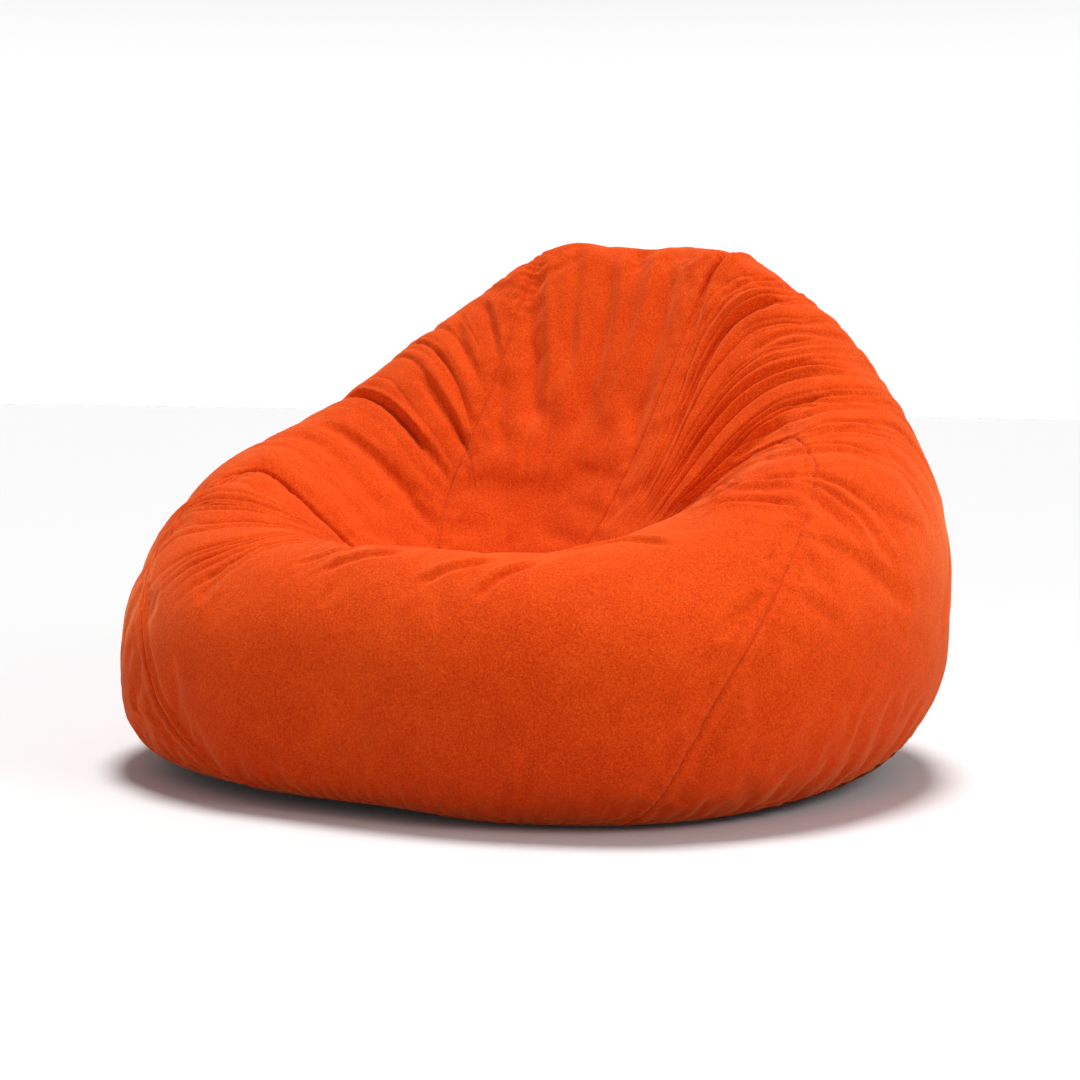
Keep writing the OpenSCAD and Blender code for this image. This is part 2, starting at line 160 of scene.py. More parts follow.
def zip_run():
    turn = base_seam_turn(np.array([ZIP_MID]))[0]
    pair = skin(ZIP_MID, turn_to_place(np.array([turn - 0.5, turn + 0.5])))
    return np.linalg.norm(pair[1] - pair[0]) / MM


ZIP_RUN = zip_run()


def opening_turn(angle):
    """How far each side of the zip's opening stands back from the base seam, eased at its two ends."""
    inside = ZIP_ANGLE / 2 + ZIP_ROOM - np.abs(np.asarray(angle, float) - ZIP_MID)
    ease = np.clip(inside / 1.2 + 0.5, 0, 1)
    return ZIP_OPENING / ZIP_RUN * ease * ease * (3 - 2 * ease)


def smooth(x, lo, hi):
    s = np.clip((x - lo) / (hi - lo), 0, 1)
    return s * s * (3 - 2 * s)


def window(x, rise_from, rise_to, fall_from, fall_to):
    """1 in the middle of a stretch, eased to 0 at its two ends."""
    return smooth(x, rise_from, rise_to) * (1 - smooth(x, fall_from, fall_to))


def hashed(i, j, k, seed):
    h = (i * 374761393 + j * 668265263 + k * 2147483647 + seed * 144269504) & 0xFFFFFFFF
    h = ((h ^ (h >> 13)) * 1274126177) & 0xFFFFFFFF
    return ((h ^ (h >> 16)) & 0xFFFF) / 65535.0


def cloudy(p, size, seed):
    """Smooth noise in -1..1 at points p, in metres, with lumps of the given size."""
    q = p / size + 100.0
    c = np.floor(q).astype(np.int64)
    f = q - c
    f = f * f * (3 - 2 * f)
    out = 0.0
    for dx in (0, 1):
        for dy in (0, 1):
            for dz in (0, 1):
                w = (np.abs(1 - dx - f[..., 0]) * np.abs(1 - dy - f[..., 1]) * np.abs(1 - dz - f[..., 2]))
                out = out + w * hashed(c[..., 0] + dx, c[..., 1] + dy, c[..., 2] + dz, seed)
    return 2 * out - 1


# ---------------------------------------------------------------- folds in the cover
LEFT_CREASE = [(278.5, 0.575), (274.4, 0.62), (272.6, 0.65), (272.5, 0.68),
               (273.2, 0.72), (274.5, 0.76), (276, 0.80), (277.5, 0.84)]
# Each fold: its line over the skin as (angle, place), then half width, depth and the lift of its lip, in mm.
FOLDS = [
    # right arm, gathered towards the corner of the seat
    ([(143, 0.60), (147, 0.67), (150, 0.71), (150, 0.74), (147, 0.78), (142, 0.82)], 11, -9, 4),
    ([(140, 0.55), (137, 0.61), (139, 0.68), (141, 0.72)], 6, -4, 2),
    ([(132, 0.57), (130, 0.61), (132, 0.67), (135, 0.72), (136, 0.77), (134, 0.82)], 6, -7, 5),
    ([(129, 0.54), (125, 0.60), (124, 0.64)], 6, -4, 3),
    ([(122, 0.63), (123, 0.68), (124, 0.73), (125, 0.78), (126, 0.82)], 6, -8, 7),
    ([(125, 0.54), (121, 0.59), (120, 0.64)], 4, -3, 2),
    ([(119, 0.55), (114, 0.60), (111, 0.66), (114, 0.70), (119, 0.75)], 6, -5, 3),
    ([(114, 0.55), (110, 0.60), (107, 0.63)], 5, -4, 2),
    ([(108, 0.54), (105, 0.60), (102, 0.64), (106, 0.70), (114, 0.76), (122, 0.81)], 6, -8, 6),
    ([(91, 0.58), (88, 0.61), (83, 0.64), (78, 0.65)], 6, -5, 3),
    ([(85, 0.56), (82, 0.58), (78, 0.61), (74, 0.62)], 5, -4, 3),
    ([(151, 0.59), (152, 0.63), (154, 0.67), (156, 0.70)], 5, -4, 2),
    # left arm and the inside of the left wall
    (LEFT_CREASE, 3.4, -11, 0),
    (LEFT_CREASE, 13, -5, 3),
    ([(240, 0.59), (238, 0.64), (235, 0.70), (232, 0.75), (230, 0.78)], 5, -9, 6),
    ([(250, 0.63), (246, 0.70), (242, 0.76), (238, 0.82), (236, 0.85)], 10, -5, 2),
    ([(257, 0.61), (253, 0.69), (251, 0.77), (250, 0.82)], 11, -4, 0),
    ([(228, 0.68), (225, 0.74), (221, 0.78), (218, 0.81)], 8, -6, 3),
    ([(224, 0.67), (221, 0.72), (218, 0.77), (216, 0.80)], 7, -4, 2),
    ([(219, 0.65), (217, 0.71), (214, 0.76)], 7, -5, 2),
    ([(213, 0.65), (211, 0.70), (209, 0.75)], 6, -4, 2),
    # the back, soft drapes down to the seat
    ([(200, 0.61), (201, 0.69), (200, 0.75), (198, 0.79), (193, 0.82)], 17, -12, 3),
    ([(208, 0.75), (208, 0.79), (205, 0.83)], 12, -5, 0),
    ([(186, 0.66), (183, 0.73), (182, 0.78), (182, 0.83)], 15, -9, 2),
    ([(180, 0.63), (178, 0.70), (176, 0.77)], 13, -5, 1),
    ([(173, 0.64), (168, 0.74), (166, 0.78), (162, 0.83)], 17, -10, 3),
    ([(193, 0.64), (191, 0.72), (190, 0.79)], 13, -6, 2),
    ([(162, 0.57), (161, 0.63), (160, 0.69), (157, 0.76)], 7, -8, 5),
    # small wrinkles along the front roll
    ([(348, 0.55), (357, 0.58), (368, 0.60)], 6, -4, 2),
    ([(374, 0.54), (381, 0.57), (393, 0.60)], 6, -4.5, 2.5),
    ([(386, 0.52), (392, 0.56), (401, 0.59)], 6, -4.5, 2.5),
    ([(402, 0.61), (416, 0.62), (421, 0.60), (423, 0.57)], 5, -4, 3),
    ([(340, 0.56), (346, 0.59), (352, 0.61)], 5, -2, 1),
    # beside the foot of the front right seam
    ([(40, 0.39), (46, 0.40), (51, 0.39)], 7, -1.5, 1),
    ([(44, 0.34), (49, 0.34), (54, 0.33)], 6, -2, 1),
    ([(57, 0.37), (61, 0.38), (66, 0.38)], 6, -1.5, 1),
    ([(46, 0.29), (50, 0.29), (54, 0.28)], 6, -1.5, 1),
    # hanging folds outside the back and the left side
    ([(206, 0.58), (207, 0.51), (213, 0.44), (223, 0.37)], 11, -6, 4),
    ([(190, 0.57), (188, 0.49), (183, 0.42), (181, 0.37)], 12, -5, 4),
    ([(170, 0.58), (167, 0.50), (160, 0.42)], 11, -5, 3),
    ([(152, 0.54), (147, 0.48), (139, 0.42), (130, 0.38)], 10, -5, 3),
    ([(234, 0.56), (238, 0.49), (246, 0.43), (256, 0.39)], 11, -6, 4),
    ([(252, 0.55), (261, 0.48), (272, 0.43)], 9, -4, 3),
    ([(222, 0.50), (228, 0.45), (236, 0.40)], 7, -4, 2),
    ([(176, 0.47), (174, 0.41), (168, 0.35)], 8, -4, 2),
    ([(122, 0.46), (114, 0.42), (104, 0.40)], 9, -3, 2),
]


def flowing(points, count):
    """A smooth line through given points."""
    p = np.array(points, float)
    p = np.vstack([2 * p[0] - p[1], p, 2 * p[-1] - p[-2]])
    out = []
    for s in np.linspace(0, len(p) - 3 - 1e-9, count):
        i = int(s)
        out.append(cubic(*p[i:i + 4], s - i))
    return np.array(out)


def beside(points, line):
    """For points near a line on the skin: distance, side (+ or -) and how far along it, 0 to 1."""
    path = skin(line[:, 0], line[:, 1])
    lift = outward(line[:, 0], line[:, 1])
    best = np.full(len(points), 1e9)
    side = np.zeros(len(points))
    along = np.zeros(len(points))
    for i in range(len(path) - 1):
        a, b = path[i], path[i + 1]
        run = b - a
        f = np.clip((points - a) @ run / (run @ run), 0, 1)
        off = points - a - f[:, None] * run
        d = np.linalg.norm(off, axis=1)
        across = np.cross(lift[i], run)
        near = d < best
        best = np.where(near, d, best)
        side = np.where(near, np.sign(off @ across), side)
        along = np.where(near, (i + f) / (len(path) - 1), along)
    return best, side, along


def fold_height(points, fold):
    line, width, depth, lip = fold
    line = flowing(line, 6 * len(line))
    path = skin(line[:, 0], line[:, 1])
    reach = 4.5 * width * MM
    lo, hi = path.min(0) - reach, path.max(0) + reach
    near = np.flatnonzero(np.all((points > lo) & (points < hi), axis=1))
    out = np.zeros(len(points))
    if not len(near):
        return out
    d, side, along = beside(points[near], line)
    d = d / (width * MM)
    ease = smooth(along, 0, 0.22) * (1 - smooth(along, 0.75, 1))
    valley = depth * np.exp(-d * d)
    ridge = lip * np.exp(-((side * d - 1.7) / 1.1) ** 2)
    out[near] = (valley + ridge) * ease * MM
    return out


def ridged(x):
    """Rounded ridges with narrow valleys between them, -1 to 1."""
    return 2 * np.abs(np.sin(math.pi * x)) ** 0.5 - 1.3


# Guide lines that the gathers follow: each row of angles is one line, at places 0.46, 0.50 ... 0.82.
GUIDE_PLACES = 0.46 + 0.04 * np.arange(10)
RIGHT_ARM = [
    [76, 76, 76, 75, 71, 68, 73, 86, 103, 116],
    [84, 84, 83.5, 82.5, 78, 76, 84, 97, 110, 118.5],
    [96, 95, 93, 91, 87, 87, 95, 105, 114, 121],
    [112, 111.5, 110, 107, 102.5, 102, 108, 114, 119.5, 123],
    [118, 117.5, 116, 112, 108.5, 108.5, 113, 118, 121.5, 124],
    [124, 123, 121.5, 117.5, 113, 112, 115.5, 120, 123, 125],
    [131, 129.5, 127, 122.5, 120.5, 121.5, 123.5, 124.5, 125, 126],
    [137, 135, 131, 127, 125, 126, 128, 129, 128.7, 128.5],
    [141, 139, 136, 132, 130.5, 131.5, 134, 136, 135.8, 134],
    [147, 145.5, 143, 139, 137, 138, 141, 142.5, 142, 139],
    [151, 149.5, 147.5, 145, 143.2, 146, 149.5, 150, 147, 142],
    [158, 156, 153.5, 151.5, 151, 153.5, 156, 157, 154, 149],
    [163, 162, 161, 161, 161, 161.5, 161.5, 160.5, 159, 157],
]
LEFT_WALL = [
    [211, 211, 211, 211, 210, 208, 207, 206, 205, 203],
    [214, 214, 214, 214, 214, 213, 212, 210.5, 208.5, 206],
    [219, 219, 219, 218.5, 218, 217.5, 215.5, 213, 210.5, 208],
    [223, 223, 223, 222.5, 222, 220.5, 218.5, 217, 215, 212],
    [228, 228, 228, 227.5, 226.5, 225, 223, 220, 217.5, 215],
    [232, 232, 232, 231, 230, 229, 227.5, 225.5, 221.5, 217.5],
    [241, 240.5, 240, 239, 238, 236.5, 235, 233, 229.5, 226],
    [253, 252.5, 252, 251, 250, 248.5, 246, 242.5, 241, 238],
    [259, 258.5, 258, 257, 256, 254.5, 253, 252, 251, 250],
    [267, 266.5, 266, 265.5, 265, 264.5, 264, 264, 264, 265],
    [271, 271, 271, 271.5, 272.5, 273, 273.3, 274, 275, 277],
]
LEFT_ROLL = [
    [271, 271, 271, 271.5, 272.5, 273, 273.3, 274, 275, 277],
    [284, 284, 284, 284, 286, 287.5, 288, 286.5, 284, 282],
    [283.5, 285, 287.5, 291, 293, 294, 293.5, 290, 287, 285],
    [296, 298, 300, 303, 304, 304, 302, 297.5, 292, 289],
    [310, 313, 315.5, 318, 318, 316, 312, 306, 299, 294],
    [322, 325, 327.5, 329, 331, 330, 326, 318, 308, 301],
    [340, 343, 346, 350, 352, 350, 344, 336, 325, 316],
]


def along_guides(guides, angle, place):
    """Which guide line a point lies on, counted from 0, with fractions between lines."""
    lines = np.array(guides, float)
    lines[1:] = np.maximum(lines[1:], lines[:-1] + 0.4)
    x = np.clip((place - GUIDE_PLACES[0]) / 0.04, 0, 8.999)
    i = x.astype(int)
    f = x - i
    edged = np.hstack([lines[:, :1], lines, lines[:, -1:]])
    at = cubic(*(edged[:, i + k] for k in range(4)), f)
    count = np.full(len(angle), -1.0)
    for k in range(len(lines) - 1):
        part = (angle - at[k]) / np.maximum(at[k + 1] - at[k], 0.2)
        count = np.where(part >= 0, k + np.minimum(part, 1), count)
    first = (angle - at[0]) / np.maximum(at[1] - at[0], 0.2)
    return np.where(first < 0, np.maximum(first, -1), count)


def uneven(count):
    """Makes the gathers' spacing irregular."""
    return count + 0.16 * np.sin(2.9 * count + 1.0) + 0.09 * np.sin(6.7 * count)


def gathers(points, angle, place):
    """Rows of soft gathers on the right arm, inside the left wall, on the left roll and down the back."""
    turn = np.mod(angle, 360.0)
    warp = cloudy(points, 0.12, 3) + 0.4 * cloudy(points, 0.05, 4)
    swell = 0.6 + 0.4 * cloudy(points, 0.08, 5)
    thin = 0.5 + 0.5 * cloudy(points, 0.06, 6)
    h = np.zeros(len(turn))

    def region(first, last, low, high):
        """Numbers of the points in one region, with their angle, place and warp."""
        near = np.flatnonzero((turn > first) & (turn < last) & (place > low) & (place < high))
        return near, turn[near], place[near], warp[near]

    near, a, t, w = region(66, 166, 0.42, 0.88)
    c = along_guides(RIGHT_ARM, a, t)
    rows = uneven(c)
    part = window(c, 0.3, 2.2, 10.6, 12) * window(t, 0.44, 0.56, 0.78, 0.86)
    broad = 3.2 * ridged(rows + 0.10 * w) + 4.4 * ridged(2 * rows + 0.3 + 0.16 * w)
    fine = 1.2 * ridged(4 * rows + 0.4 * w) * (1 - smooth(t, 0.70, 0.76))
    h[near] += part * (swell[near] * broad + thin[near] * fine)

    near, a, t, w = region(200, 276, 0.50, 0.90)
    c = along_guides(LEFT_WALL, a, t)
    rows = uneven(c)
    part = window(c, 1.0, 2.6, 9.0, 9.9) * (1 - 0.5 * smooth(c, 5.5, 7)) * window(t, 0.55, 0.64, 0.78, 0.87)
    part *= 1 - smooth(t, 0.68, 0.77) * (1 - smooth(c, 3, 5))
    h[near] += part * swell[near] * (3.9 * ridged(rows + 0.15 * w) + 2.2 * ridged(2 * rows + 0.2 + 0.3 * w))

    near, a, t, w = region(268, 352, 0.44, 0.84)
    c = along_guides(LEFT_ROLL, a, t)
    rows = uneven(c)
    part = window(c, 0.1, 0.8, 3.6, 6) * window(t, 0.47, 0.56, 0.72, 0.82) * (0.35 + 0.65 * thin[near])
    h[near] += part * (4.4 * ridged(3 * rows + 0.35 * w) + 3.2 * ridged(1.5 * rows + 0.3 * w))

    near, a, t, w = region(158, 210, 0.60, 0.88)
    lean = 30 * smooth(a, 180, 200) - 24 * (1 - smooth(a, 165, 180))
    across = a + (t - 0.7) * lean
    part = window(a, 161, 168, 198, 206) * window(t, 0.61, 0.68, 0.78, 0.87)
    h[near] += part * swell[near] * (3.0 * np.sin(across / 1.35 + 3.0 * w) + np.sin(across / 0.62 + 5.0 * w))
    return h * MM


# Where the top edge stands higher or lower than a smooth curve: middle angle, width and rise in mm.
CREST = [(197, 9, 14), (214, 6, -7), (178, 8, -4), (161, 4, 5), (138, 14, -5)]


def slack(points, angle, place):
    """Broad, low unevenness of cloth over loose beads, and none on the floor."""
    lift = smooth(points[:, 2], 0.012, 0.08)
    h = 2.6 * cloudy(points, 0.16, 11) + 1.3 * cloudy(points, 0.075, 12) + 0.5 * cloudy(points, 0.035, 13)
    a = np.mod(angle, 360.0)
    crest = sum(rise * np.exp(-((a - middle) / wide) ** 2) for middle, wide, rise in CREST)
    h = h + crest * window(place, 0.46, 0.60, 0.64, 0.76)
    return h * lift * MM


def drapes(points, angle, place):
    """Soft hanging unevenness outside the back and sides, and short puckers above the base seam."""
    a = np.mod(angle, 360.0)
    sway = cloudy(points, 0.22, 51)
    patchy = 0.35 + 0.65 * smooth(cloudy(points, 0.11, 52), -0.3, 0.5)
    rear = window(a, 118, 145, 240, 275)
    hang = window(place, 0.31, 0.42, 0.56, 0.63)
    h = 2.0 * rear * hang * patchy * np.sin(a / 2.9 + 3.0 * sway + 8.0 * place)
    above = (place - turn_to_place(base_seam_turn(a))) / 0.05
    low = smooth(above, 0.0, 0.4) * np.exp(-np.maximum(above, 0.0))
    sides = window(a, 64, 90, 262, 290)
    h = h + 3.2 * sides * low * patchy * np.sin(a / 0.95 + 2.5 * sway + 3.0 * patchy)
    return h * MM


def seam_line(seam, count=90):
    foot = seam_angle(seam, SEAM_FOOT)
    start = turn_to_place(base_seam_turn(np.array([foot]))[0])
    place = np.linspace(start, 0.998, count)
    return np.stack([seam_angle(seam, np.maximum(place, SEAM_FOOT)), place], -1)


def base_line(count=200):
    angle = np.linspace(0, 360, count)
    return np.stack([angle, turn_to_place(base_seam_turn(angle))], -1)


def seam_height(points):
    """A narrow groove along every seam, with small puckers on both sides."""
    out = np.zeros(len(points))
    for name, seam in SEAMS.items():
        line = seam_line(seam)
        path = skin(line[:, 0], line[:, 1])
        idx = np.flatnonzero(np.all((points > path.min(0) - 0.05) & (points < path.max(0) + 0.05), axis=1))
        d, _, along = beside(points[idx], line)
        mm = d / MM
        length = np.linalg.norm(np.diff(path, axis=0), axis=1).sum() / MM
        seed = len(name)
        wave = np.sin(2 * math.pi * (along * length / 17 + 0.8 * cloudy(points[idx], 0.06, 20 + seed)))
        strong = 0.35 + 0.65 * smooth(cloudy(points[idx], 0.12, 31 + seed), -0.1, 0.5)
        groove = -1.9 * np.exp(-(mm / 2.0) ** 2) + 0.8 * np.exp(-((mm - 6) / 4.5) ** 2)
        pucker = 0.5 * strong * wave * np.exp(-((mm - 6) / 9.0) ** 2)
        fade = smooth(along, 0, 0.03) * (1 - smooth(along, 0.93, 1))
        out[idx] += (groove + pucker) * fade * MM
    line = base_line()
    low = np.flatnonzero(points[:, 2] < 0.12)
    d, _, along = beside(points[low], line)
    mm = d / MM
    away = smooth(np.abs(np.mod(along * 360, 360) - ZIP_MID), 30, 34)
    groove = -1.6 * np.exp(-(mm / 2.4) ** 2) + 0.7 * np.exp(-((mm - 6) / 4.0) ** 2)
    out[low] += groove * MM * away * smooth(points[low, 2], 0.001, 0.006)
    return out


def cover_height(points, angle, place):
    """All relief of the cover: no folds where it lies on the floor or holds the zip, and seams everywhere."""
    h = slack(points, angle, place) + gathers(points, angle, place) + drapes(points, angle, place)
    for fold in FOLDS:
        h = h + fold_height(points, fold)
    flat = smooth(points[:, 2], 0.0, 0.01)
    zip_calm = 1 - window(place, 0.20, 0.24, 0.30, 0.34) * window(np.mod(angle, 360), 142, 150, 210, 218)
    return h * flat * zip_calm + seam_height(points)


# ---------------------------------------------------------------- mesh helpers
def add_object(name, verts, faces, shade=True):
    mesh = bpy.data.meshes.new(name)
    mesh.from_pydata([tuple(v) for v in np.asarray(verts).tolist()], [], faces)
    mesh.update()
    if shade:
        mesh.polygons.foreach_set("use_smooth", [True] * len(mesh.polygons))
    obj = bpy.data.objects.new(name, mesh)
    bpy.context.scene.collection.objects.link(obj)
    return obj


def grid_object(name, verts, quads):
    """A mesh from numpy vertices and quads, made quickly."""
    mesh = bpy.data.meshes.new(name)
    n = len(quads)
    mesh.vertices.add(len(verts))
    mesh.vertices.foreach_set("co", np.ascontiguousarray(verts, np.float32).ravel())
    mesh.loops.add(n * 4)
    mesh.loops.foreach_set("vertex_index", np.ascontiguousarray(quads, np.int32).ravel())
    mesh.polygons.add(n)
    mesh.polygons.foreach_set("loop_start", np.arange(0, n * 4, 4, dtype=np.int32))
    mesh.polygons.foreach_set("use_smooth", np.ones(n, bool))
    mesh.update(calc_edges=True)
    mesh.validate()
    obj = bpy.data.objects.new(name, mesh)
    bpy.context.scene.collection.objects.link(obj)
    return obj


def shell_quads(rows, columns):
    """Quads of a closed shell: an outside grid, the same grid inside, and its four edges."""
    n = rows * columns
    k, j = np.meshgrid(np.arange(rows - 1), np.arange(columns - 1), indexing="ij")
    a = (k * columns + j).ravel()
    outer = np.stack([a, a + 1, a + 1 + columns, a + columns], -1)
    inner = np.stack([a + n, a + n + columns, a + n + 1 + columns, a + n + 1], -1)
    jj = np.arange(columns - 1)
    top = (rows - 1) * columns
    foot = np.stack([jj, jj + n, jj + n + 1, jj + 1], -1)
    head = np.stack([jj + top, jj + top + 1, jj + top + 1 + n, jj + top + n], -1)
    kk = np.arange(rows - 1) * columns
    left = np.stack([kk, kk + columns, kk + columns + n, kk + n], -1)
    e = kk + columns - 1
    right = np.stack([e, e + n, e + columns + n, e + columns], -1)
    return np.vstack([outer, inner, foot, head, left, right])


ROWS = 350
FEW = 0.995
# Rows lie closer together where the cover is folded: share of the rows against share of the way up.
ROW_SHARE, PLACE_SHARE = (0, 0.20, 0.86, 1), (0, 0.33, 0.84, 1)

# The whole cover is settled once as one loose net of cloth, and every panel then follows that net.
NET_ROWS, NET_COLUMNS = 104, 240
NET_LOW, NET_HIGH = 0.17, 0.965
SETTLE_FRAMES = 16
MOST_MOVE = 9 * MM


def settle_cover():
    """Cloth simulation of the cover over its filling: how far each knot of the net moves, in metres."""
    turn = np.arange(NET_COLUMNS) * 360.0 / NET_COLUMNS
    angle, place = np.meshgrid(turn, np.linspace(NET_LOW, NET_HIGH, NET_ROWS))
    a, t = angle.ravel(), place.ravel()
    lift = outward(a, t)
    start = skin(a, t) + lift * 0.5 * cover_height(skin(a, t), a, t)[:, None]
    k, j = np.meshgrid(np.arange(NET_ROWS - 1), np.arange(NET_COLUMNS), indexing="ij")
    here, right = (k * NET_COLUMNS + j).ravel(), (k * NET_COLUMNS + (j + 1) % NET_COLUMNS).ravel()
    quads = np.stack([here, right, right + NET_COLUMNS, here + NET_COLUMNS], -1)
    net = grid_object("settling_net", start, quads)
    hold = np.maximum(1 - smooth(t, 0.19, 0.32), smooth(t, 0.90, 0.96))
    for seam in SEAMS.values():
        gap = np.mod(a - seam_angle(seam, np.maximum(t, SEAM_FOOT)) + 180, 360) - 180
        hold = np.maximum(hold, 0.85 * np.exp(-(gap / 1.6) ** 2))
    group = net.vertex_groups.new(name="held")
    for level in range(21):
        chosen = np.flatnonzero(np.round(hold * 20).astype(int) == level)
        if level and len(chosen):
            group.add(chosen.tolist(), level / 20, "REPLACE")
    cloth = net.modifiers.new("settle", "CLOTH")
    cloth.settings.quality = 5
    cloth.settings.mass = 0.25
    cloth.settings.tension_stiffness = 12
    cloth.settings.compression_stiffness = 12
    cloth.settings.shear_stiffness = 4
    cloth.settings.bending_stiffness = 0.35
    cloth.settings.tension_damping = cloth.settings.compression_damping = cloth.settings.shear_damping = 8
    cloth.settings.air_damping = 3
    cloth.settings.shrink_min = -0.035
    cloth.settings.use_pressure = True
    cloth.settings.uniform_pressure_force = 1.5
    cloth.settings.effector_weights.gravity = 0
    cloth.settings.vertex_group_mass = "held"
    cloth.settings.pin_stiffness = 1.0
    cloth.collision_settings.use_collision = False
    cloth.point_cache.frame_start, cloth.point_cache.frame_end = 1, SETTLE_FRAMES
    scene = bpy.context.scene
    for frame_number in range(1, SETTLE_FRAMES + 1):
        scene.frame_set(frame_number)
    settled = net.evaluated_get(bpy.context.evaluated_depsgraph_get())
    end = np.empty(len(start) * 3, np.float32)
    settled.data.vertices.foreach_get("co", end)
    scene.frame_set(1)
    mesh = net.data
    bpy.data.objects.remove(net)
    bpy.data.meshes.remove(mesh)
    move = end.reshape(-1, 3).astype(float) - start
    swelling = np.sum(move * lift, axis=1).reshape(NET_ROWS, NET_COLUMNS)
    for _ in range(2):
        swelling = sum(np.roll(swelling, d, axis=1) for d in range(-8, 9)) / 17
        tall = np.pad(swelling, ((6, 6), (0, 0)), "edge")
        swelling = sum(tall[6 + d:6 + d + NET_ROWS] for d in range(-6, 7)) / 13
    move = move - lift * swelling.ravel()[:, None]
    length = np.linalg.norm(move, axis=1, keepdims=True)
    calm = 0.72 - 0.30 * smooth(t, 0.62, 0.72)
    move = move * (calm[:, None] * MOST_MOVE * np.tanh(length / MOST_MOVE) / np.maximum(length, 1e-9))
    print("cover settled by up to %.1f mm, %.1f mm on average" % (length.max() / MM, length.mean() / MM))
    return move.reshape(NET_ROWS, NET_COLUMNS, 3)


NET_MOVE = settle_cover()


def settled_move(angle, place):
    """The net's movement at any point of the cover."""
    x = np.mod(angle, 360.0) * NET_COLUMNS / 360.0
    y = np.clip((place - NET_LOW) / (NET_HIGH - NET_LOW), 0, 1) * (NET_ROWS - 1)
    i, k = np.floor(x).astype(int), np.floor(y).astype(int)
    fx, fy = (x - i)[:, None], (y - k)[:, None]
    rows = []
    for dy in range(-1, 3):
        r = np.clip(k + dy, 0, NET_ROWS - 1)
        rows.append(cubic(*(NET_MOVE[r, (i + dx) % NET_COLUMNS] for dx in range(-1, 3)), fx))
    inside = window(place, NET_LOW, NET_LOW + 0.03, NET_HIGH - 0.03, NET_HIGH)[:, None]
    return cubic(*rows, fy) * inside


def tucked_up(angle, place):
    """The front left edge doesn't quite reach the floor."""
    a = np.mod(angle + 180.0, 360.0) - 180.0
    up = FRONT_TUCK * MM * window(a, -78, -50, 4, 34) * window(place, 0.09, 0.15, 0.19, 0.32)
    return np.stack([0 * up, 0 * up, up], -1)


def cover_surface(angle, place, depth_mm=0.0):
    """Points of the folded and settled cover, or of a layer inside it."""
    a, t = np.ravel(angle), np.ravel(place)
    p, n = skin(a, t), outward(a, t)
    return p + n * (cover_height(p, a, t) - depth_mm * MM)[:, None] + settled_move(a, t) + tucked_up(a, t)


def panel_places(first, second, wrap, columns):
    u = np.linspace(0, 1, columns)[None, :]
    foot = (1 - u) * seam_angle(first, SEAM_FOOT) + u * (seam_angle(second, SEAM_FOOT) + wrap)
    start = turn_to_place(base_seam_turn(foot) + opening_turn(foot))
    f = np.interp(np.linspace(0, 1, ROWS), ROW_SHARE, PLACE_SHARE)[:, None]
    place = start + (FEW - start) * f
    held = np.maximum(place, SEAM_FOOT)
    angle = (1 - u) * seam_angle(first, held) + u * (seam_angle(second, held) + wrap)
    return angle, place


def make_panel(name, first, second, wrap, columns):
    angle, place = panel_places(first, second, wrap, columns)
    outside = cover_surface(angle, place)
    inside = outside - outward(angle.ravel(), place.ravel()) * COVER_T * MM
    return grid_object(name, np.vstack([outside, inside]), shell_quads(ROWS, columns))


cover_panels = [
    make_panel("front_cover_panel", FRONT_LEFT, FRONT_RIGHT, 0, 440),
    make_panel("right_cover_panel", FRONT_RIGHT, BACK_RIGHT, 0, 340),
    make_panel("back_cover_panel", BACK_RIGHT, BACK_LEFT, 0, 230),
    make_panel("left_cover_panel", BACK_LEFT, FRONT_LEFT, 360, 300),
]


def make_base():
    columns, rows = 361, 40
    angle = np.linspace(0, 360, columns)[None, :] + np.zeros((rows, 1))
    edge = turn_to_place(base_seam_turn(angle[:1]) - opening_turn(angle[:1]))
    f = np.linspace(0.004, 1, rows)[:, None]
    place = edge * (1 - (1 - f) ** 1.5)
    a, t = angle.ravel(), place.ravel()
    p, n = skin(a, t), outward(a, t)
    outside = p + n * seam_height(p)[:, None] + settled_move(a, t) + tucked_up(a, t)
    shell = np.vstack([outside, outside - n * COVER_T * MM])
    return grid_object("base_cover_panel", shell, shell_quads(rows, columns))


base_cover = make_base()


def inner_layer(angle, place, depth_mm):
    """A loose layer that keeps clear of the deepest folds."""
    a, t = np.ravel(angle), np.ravel(place)
    return skin(a, t) - outward(a, t) * depth_mm * MM + 0.5 * settled_move(a, t)


def make_liner(name, first_angle, last_angle, rows=90, columns=120):
    """Half of the inner liner."""
    angle, f = np.meshgrid(np.linspace(first_angle, last_angle, columns), np.linspace(0, 1, rows))
    start = turn_to_place(base_seam_turn(angle))
    place = start + (0.985 - start) * f
    shell = np.vstack([inner_layer(angle, place, depth) for depth in (LINER_DEPTH, LINER_DEPTH + LINER_T)])
    return grid_object(name, shell, shell_quads(rows, columns))


